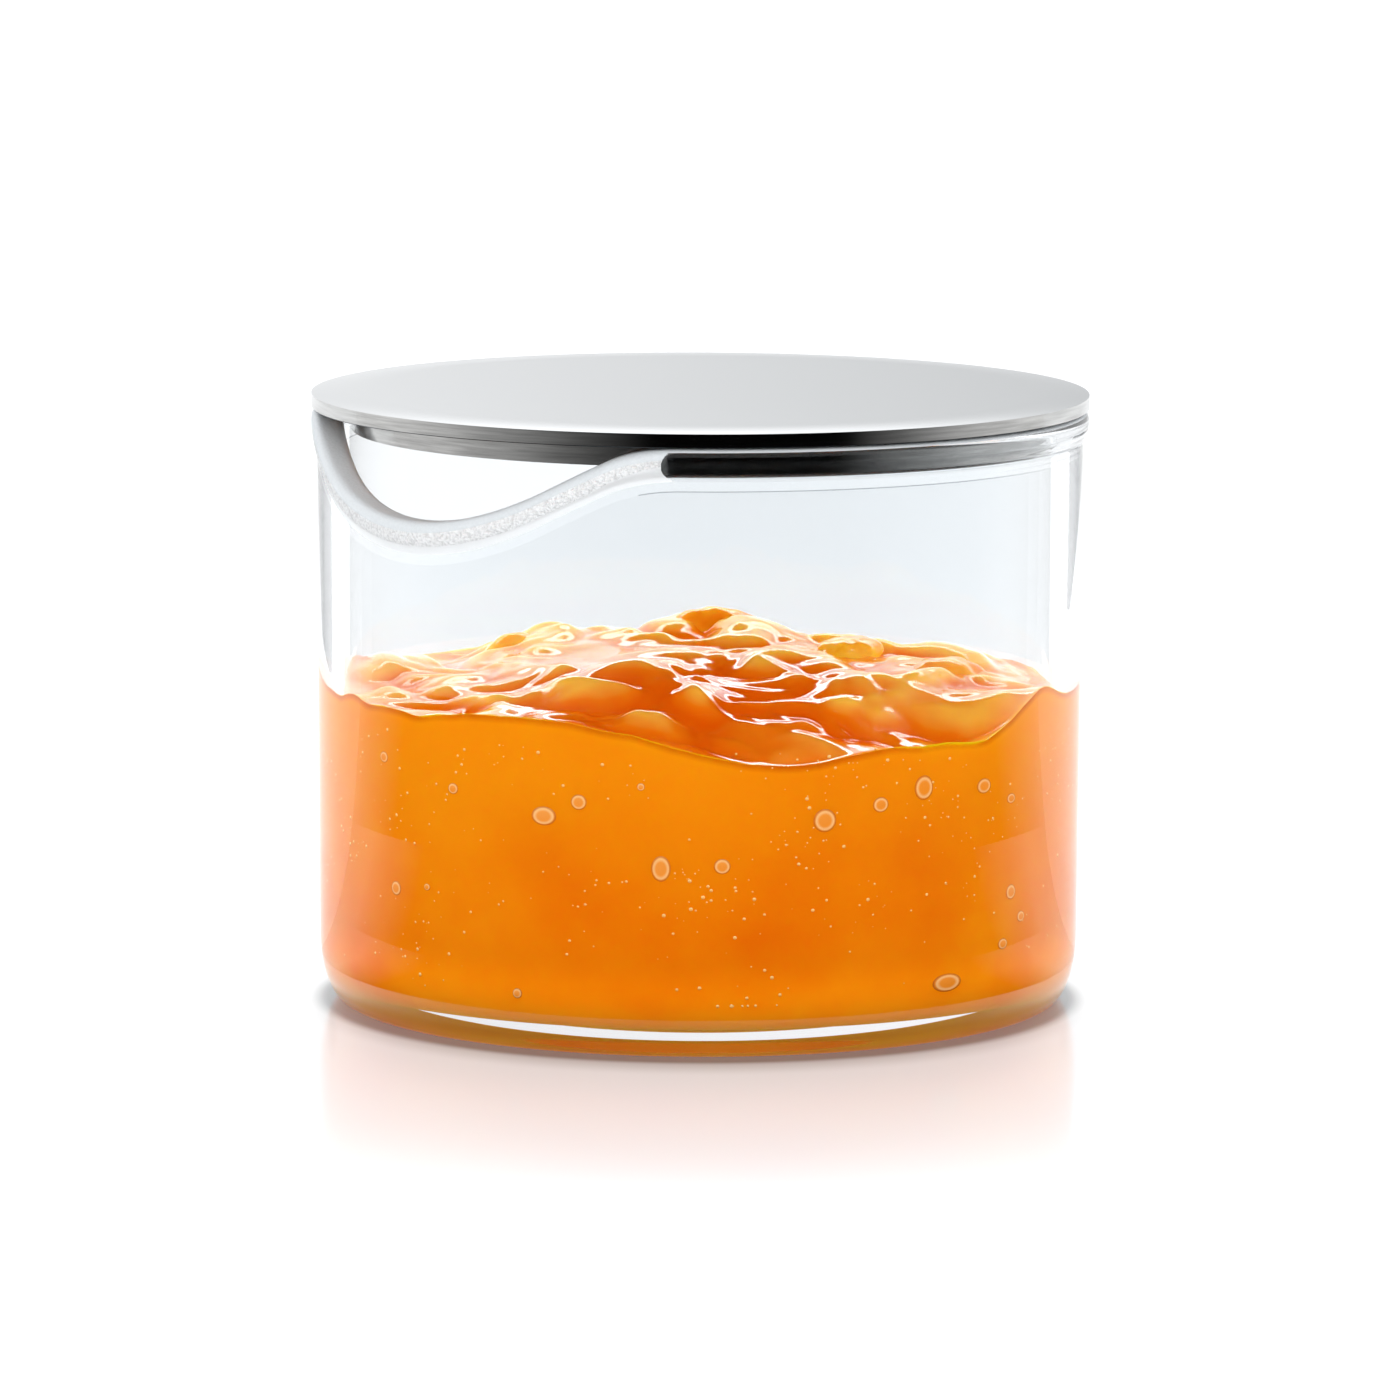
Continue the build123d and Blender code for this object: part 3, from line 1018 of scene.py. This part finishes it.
def jam_side_material():
    """Jam against the glass: no gloss of its own, painted yellower and lighter upwards, with a painted dark
    line along its top edge and a soft painted glow near the base.
    """
    material, tree, shader = new_material("jam_side")
    place = object_place(tree)
    height = height_of(place)
    body = ramp(cloud(place, 60.0, 3.0), JAM_SIDE_STOPS)
    upper = mix(span(height, JAM_UPPER_HEIGHTS, end=JAM_UPPER_SHARE), body, JAM_UPPER_COLOUR)
    gel(shader, mix(point_value(tree, "painted_contact_line"), upper, JAM_PAINTED_LINE_COLOUR))
    settle(shader, {
        "Emission Strength": span(height, JAM_UNDER_HEIGHTS, JAM_UNDER_GLOW, 0.0),
        "Roughness": 0.9,
        "Specular IOR Level": 0.0,
        "Sheen Weight": 0.8,
        "Sheen Tint": JAM_SHEEN,
    })
    return material


def jam_top_material():
    """Wet surface of the jam: painted light, yellow, on its crests and painted shade, a darker orange, in a
    hollow, with random patches.
    """
    material, tree, shader = new_material("jam_top")
    patches = cloud(object_place(tree), 90.0, 3.0)
    inputs = {"Factor": JAM_CLOUD_SHARE, "A": point_value(tree, "painted_light"), "B": patches}
    share = node(tree, "ShaderNodeMix", inputs, data_type="FLOAT").outputs["Result"]
    gel(shader, ramp(share, JAM_TOP_STOPS))
    settle(shader, {"Emission Strength": JAM_TOP_GLOW, "Roughness": 0.06, "Specular IOR Level": 0.25})
    return material


def fruit_material():
    """Wet apricot flesh: yellow-orange with paler and redder patches, and a faint painted glow."""
    material, tree, shader = new_material("apricot_flesh")
    gel(shader, ramp(cloud(object_place(tree), 160.0, 4.0), FRUIT_STOPS))
    settle(shader, {"Emission Strength": JAM_TOP_GLOW, "Roughness": 0.1, "Specular IOR Level": 0.25})
    return material


def steel_material(name, colour, roughness, grain, grain_scale, graze):
    """Steel with a fine grain of a depth and a scale, drawn out round the axis where it is turned.

    Its reflection at a grazing angle is scaled by a share.
    """
    material, tree, shader = new_material(name)
    stretch = node(tree, "ShaderNodeMapping", {"Vector": object_place(tree), "Scale": grain_scale})
    speckle = cloud(stretch.outputs["Vector"], 1.0, 4.0)
    low = tuple((1 - grain) * c for c in colour)
    settle(shader, {
        "Base Color": ramp(speckle, [(0.3, low), (0.7, colour)]),
        "Metallic": 1.0,
        "Roughness": roughness,
        "Specular Tint": (graze, graze, graze, 1.0),
    })
    return material


# Stage

def stage_mesh(name, points, faces, material):
    """Object of the studio from points in metres."""
    mesh = bpy.data.meshes.new(name)
    mesh.from_pydata(points, [], faces)
    mesh.materials.append(material)
    return new_object(name, mesh)


def band_between(edges, bearings, count):
    """Points and faces of a band between two edges of (radius, height).

    Each edge has its own first and last bearing from the camera, in degrees.
    """
    points = []
    for step in range(count + 1):
        for (radius, level), (first, last) in zip(edges, bearings):
            angle = CAMERA_AZIMUTH + math.radians(first + (last - first) * step / count)
            points.append((radius * math.sin(angle), -radius * math.cos(angle), level))
    faces = [(a, a + 1, a + 3, a + 2) for a in range(0, 2 * count, 2)]
    return points, faces


def card_material(name):
    """Material of a card, with its tree and its output, which has no shader yet."""
    material, tree, shader = new_material(name)
    tree.nodes.remove(shader)
    return material, tree, tree.nodes["Material Output"]


def hide_from(made, *rays):
    """Hide an object from some kinds of rays."""
    for kind in rays:
        setattr(made, f"visible_{kind}", False)


def light_only(source, pieces):
    """Let a light or a card light some pieces alone."""
    lit = bpy.data.collections.new(f"lit_by_{source.name}")
    for piece in pieces:
        lit.objects.link(piece)
    source.light_linking.receiver_collection = lit


def distance_from(place, shift):
    """Distance from a point on the floor that is moved from the pot's axis towards the camera."""
    shifted = vector_math("SUBTRACT", {0: place, 1: shift * TO_CAMERA})
    return vector_math("LENGTH", {0: shifted}, "Value")


def make_floor():
    """Pale floor, glossy near the pot, with the pot's shade where they meet."""
    half = FLOOR_HALF
    corners = [(-half, -half, 0), (half, -half, 0), (half, half, 0), (-half, half, 0)]
    material, tree, shader = new_material("pale_floor")
    place = object_place(tree)
    away = distance_from(place, FLOOR_RING_SHIFT)
    stops = [(stop, (level,) * 3) for stop, level in FLOOR_RING]
    ring = ramp(span(away, FLOOR_RING_RANGE, smooth=False), stops)
    soft = span(distance_from(place, FLOOR_SOFT_SHIFT), FLOOR_SOFT_RANGE, FLOOR_SOFT)
    settle(shader, {
        "Base Color": vector_math("SCALE", {0: ring, "Scale": soft}),
        "Roughness": 0.12,
        "IOR": 1.22,
        "Specular IOR Level": span(away, FLOOR_GLOSS_RANGE, FLOOR_GLOSS, 0.0),
    })
    floor = stage_mesh("floor", corners, [(0, 1, 2, 3)], material)
    return floor


def make_flag(name, edges, bearings, dark_to, bright_from, shows_through):
    """Card that reflections see from the pot's side, and other rays only faintly.

    It is black up to a bearing from the camera and white from another on.
    """
    material, tree, output = card_material(name)
    flat = vector_math("MULTIPLY", {0: object_place(tree), 1: (1.0, 1.0, 0.0)})
    aim = along_direction(vector_math("NORMALIZE", {0: flat}), TO_CAMERA)
    limits = (math.cos(math.radians(dark_to)), math.cos(math.radians(bright_from)))
    glow = node(tree, "ShaderNodeEmission", {"Strength": span(aim, limits, smooth=False)})
    clear = node(tree, "ShaderNodeBsdfTransparent")
    reflections = node(tree, "ShaderNodeLightPath").outputs["Glossy Depth"]
    faint = combine("MULTIPLY", combine("LESS_THAN", reflections, 0.5), FLAG_FAINTNESS)
    from_behind = node(tree, "ShaderNodeNewGeometry").outputs["Backfacing"]
    either = node(tree, "ShaderNodeMixShader", {
        "Fac": combine("MAXIMUM", faint, from_behind),
        1: glow.outputs["Emission"],
        2: clear.outputs["BSDF"],
    })
    settle(output, {"Surface": either.outputs["Shader"]})
    flag = stage_mesh(name, *band_between(edges, bearings, FLAG_COLUMNS), material)
    flag.visible_transmission = shows_through
    hide_from(flag, "camera", "diffuse", "shadow")


def make_glint(pieces):
    """Bright strip round the back of the bore, above the jam, that lights these pieces alone."""
    material, tree, output = card_material("glint_light")
    strength = span(height_of(object_place(tree)), GLINT_STRIP, GLINT_SOFT, GLINT_STRENGTH)
    glow = node(tree, "ShaderNodeEmission", {"Color": GLINT_COLOUR, "Strength": strength})
    settle(output, {"Surface": glow.outputs["Emission"]})
    edges = [(GLINT_RADIUS, level) for level in GLINT_HEIGHTS]
    bearings = [(180 - GLINT_SPAN, 180 + GLINT_SPAN)] * 2
    glint = stage_mesh("glint", *band_between(edges, bearings, GLINT_COLUMNS), material)
    hide_from(glint, "camera", "transmission", "shadow")
    light_only(glint, pieces)


def make_lid_card(lid):
    """Clear card behind the pot that adds a glow to the lid's reflection, strongest left and high up."""
    material, tree, output = card_material("lid_card")
    place = object_place(tree)
    aside = along_direction(place, TO_RIGHT)
    fade = span(aside, LID_CARD_FADE, LID_CARD_GLOW, 0.0, smooth=False)
    band = span(height_of(place), LID_CARD_BAND_HEIGHTS, end=LID_CARD_BAND)
    glow = node(tree, "ShaderNodeEmission", {"Strength": combine("ADD", fade, band)})
    clear = node(tree, "ShaderNodeBsdfTransparent")
    both = node(tree, "ShaderNodeAddShader", {0: glow.outputs["Emission"], 1: clear.outputs["BSDF"]})
    settle(output, {"Surface": both.outputs["Shader"]})
    half = LID_CARD_HALF
    low, high = LID_CARD_HEIGHTS
    corners = []
    for side, level in ((-half, low), (half, low), (half, high), (-half, high)):
        corners.append(TO_RIGHT * side - TO_CAMERA * LID_CARD_DEPTH + UP * level)
    card = stage_mesh("lid_card", corners, [(0, 1, 2, 3)], material)
    hide_from(card, "camera", "diffuse", "transmission", "shadow")
    light_only(card, [lid])


def new_lamp(name, kind, power, beam):
    """Lamp of a kind and a power that shines along a beam."""
    light = bpy.data.lights.new(name, kind)
    light.energy = power
    lamp = new_object(name, light)
    lamp.rotation_euler = beam.to_track_quat("-Z", "Y").to_euler()
    return lamp


def make_fill():
    """Soft area light from the camera's side, which shows in no reflection."""
    place = TO_CAMERA * FILL_DISTANCE + UP * FILL_HEIGHT
    fill = new_lamp("front_fill", "AREA", FILL_POWER, FILL_AIM - place)
    fill.location = place
    fill.data.shape = "RECTANGLE"
    fill.data.size, fill.data.size_y = FILL_SIZE
    hide_from(fill, "camera", "glossy", "transmission")


def make_sun(floor):
    """Soft light from behind on the floor alone, which throws the pot's shade towards the camera."""
    beam = TO_CAMERA * math.cos(SUN_ELEVATION) - UP * math.sin(SUN_ELEVATION)
    sun = new_lamp("back_sun", "SUN", SUN_STRENGTH, beam)
    sun.data.angle = SUN_WIDTH
    light_only(sun, [floor])


def make_world():
    """Soft white studio: dark towards the camera, light overhead, with a bright band high behind the pot."""
    world = bpy.data.worlds.new("studio")
    bpy.context.scene.world = world
    world.use_nodes = True
    tree = world.node_tree
    direction = node(tree, "ShaderNodeTexCoord").outputs["Generated"]
    height = height_of(direction)
    behind = along_direction(direction, -TO_CAMERA)
    aside = along_direction(direction, TO_RIGHT)
    lean = span(aside, WORLD_LEAN_RANGE, 1.0 + WORLD_LEAN, 1.0 - WORLD_LEAN)
    around = combine("MULTIPLY", span(behind, WORLD_TURN, WORLD_FRONT, WORLD_SIDE), lean)
    around = combine("MAXIMUM", around, span(height, WORLD_RISE, end=WORLD_TOP))
    band = combine("MULTIPLY", span(height, WORLD_RISE), span(height, WORLD_FALL, 1.0, 0.0))
    glow = combine("MULTIPLY", band, span(behind, WORLD_BAND_TURN, end=WORLD_BAND))
    strength = combine("ADD", around, glow)
    settle(tree.nodes["Background"], {"Color": WORLD_COLOUR, "Strength": strength})


def make_camera():
    """Camera at the photo's angle."""
    data = bpy.data.cameras.new("camera")
    data.lens = CAMERA_LENS
    data.sensor_width = 36.0
    data.shift_x = CAMERA_SHIFT
    data.clip_end = 50.0
    camera = new_object("camera", data)
    forward = -TO_CAMERA * math.cos(CAMERA_PITCH) - UP * math.sin(CAMERA_PITCH)
    level_up = TO_RIGHT.cross(forward)
    right = TO_RIGHT * math.cos(CAMERA_ROLL) + level_up * math.sin(CAMERA_ROLL)
    up = level_up * math.cos(CAMERA_ROLL) - TO_RIGHT * math.sin(CAMERA_ROLL)
    place = (TO_CAMERA * CAMERA_DISTANCE + UP * CAMERA_HEIGHT) * MM
    camera.matrix_world = Matrix((
        (right.x, up.x, -forward.x, place.x),
        (right.y, up.y, -forward.y, place.y),
        (right.z, up.z, -forward.z, place.z),
        (0, 0, 0, 1),
    ))
    bpy.context.scene.camera = camera


# Build

glass = make_glass({zone: glass_material(*finish) for zone, finish in GLASS_FINISHES.items()})
jam = make_jam(jam_side_material(), jam_top_material())
fruit = make_fruit(fruit_material())
bubbles = make_bubbles(
    bubble_material("jam_bubble", BUBBLE_SHADING_STOPS, BUBBLE_OUTLINE),
    bubble_material("jam_speck", SPECK_SHADING_STOPS, 0.0),
)
plate = make_lid_plate([steel_material(*finish) for finish in STEEL_PLATE])
disc = make_lid_disc(steel_material(*STEEL_DISC))

hide_from(glass, "diffuse", "shadow")
for piece in (jam, fruit, bubbles):
    hide_from(piece, "diffuse")

for piece, body, nodes, slot in (
    (glass, "pot", ["glass_pot"], "clear_glass"),
    (jam, "pot", ["jam"], "apricot_jam"),
    (fruit, "pot", ["apricot_pieces"], "apricot_fruit"),
    (bubbles, "pot", [], "apricot_jam"),
    (plate, "lid", ["lid_plate"], "matt_steel"),
    (disc, "lid", ["lid_locating_disc"], "turned_steel"),
):
    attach(piece, body)
    if nodes:
        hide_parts(*nodes)

floor = make_floor()
for flag in FLAGS:
    make_flag(*flag)
make_world()
make_fill()
make_sun(floor)
make_lid_card(plate)
make_glint([jam, fruit, bubbles])
make_camera()
bpy.context.scene.view_settings.view_transform = "Standard"
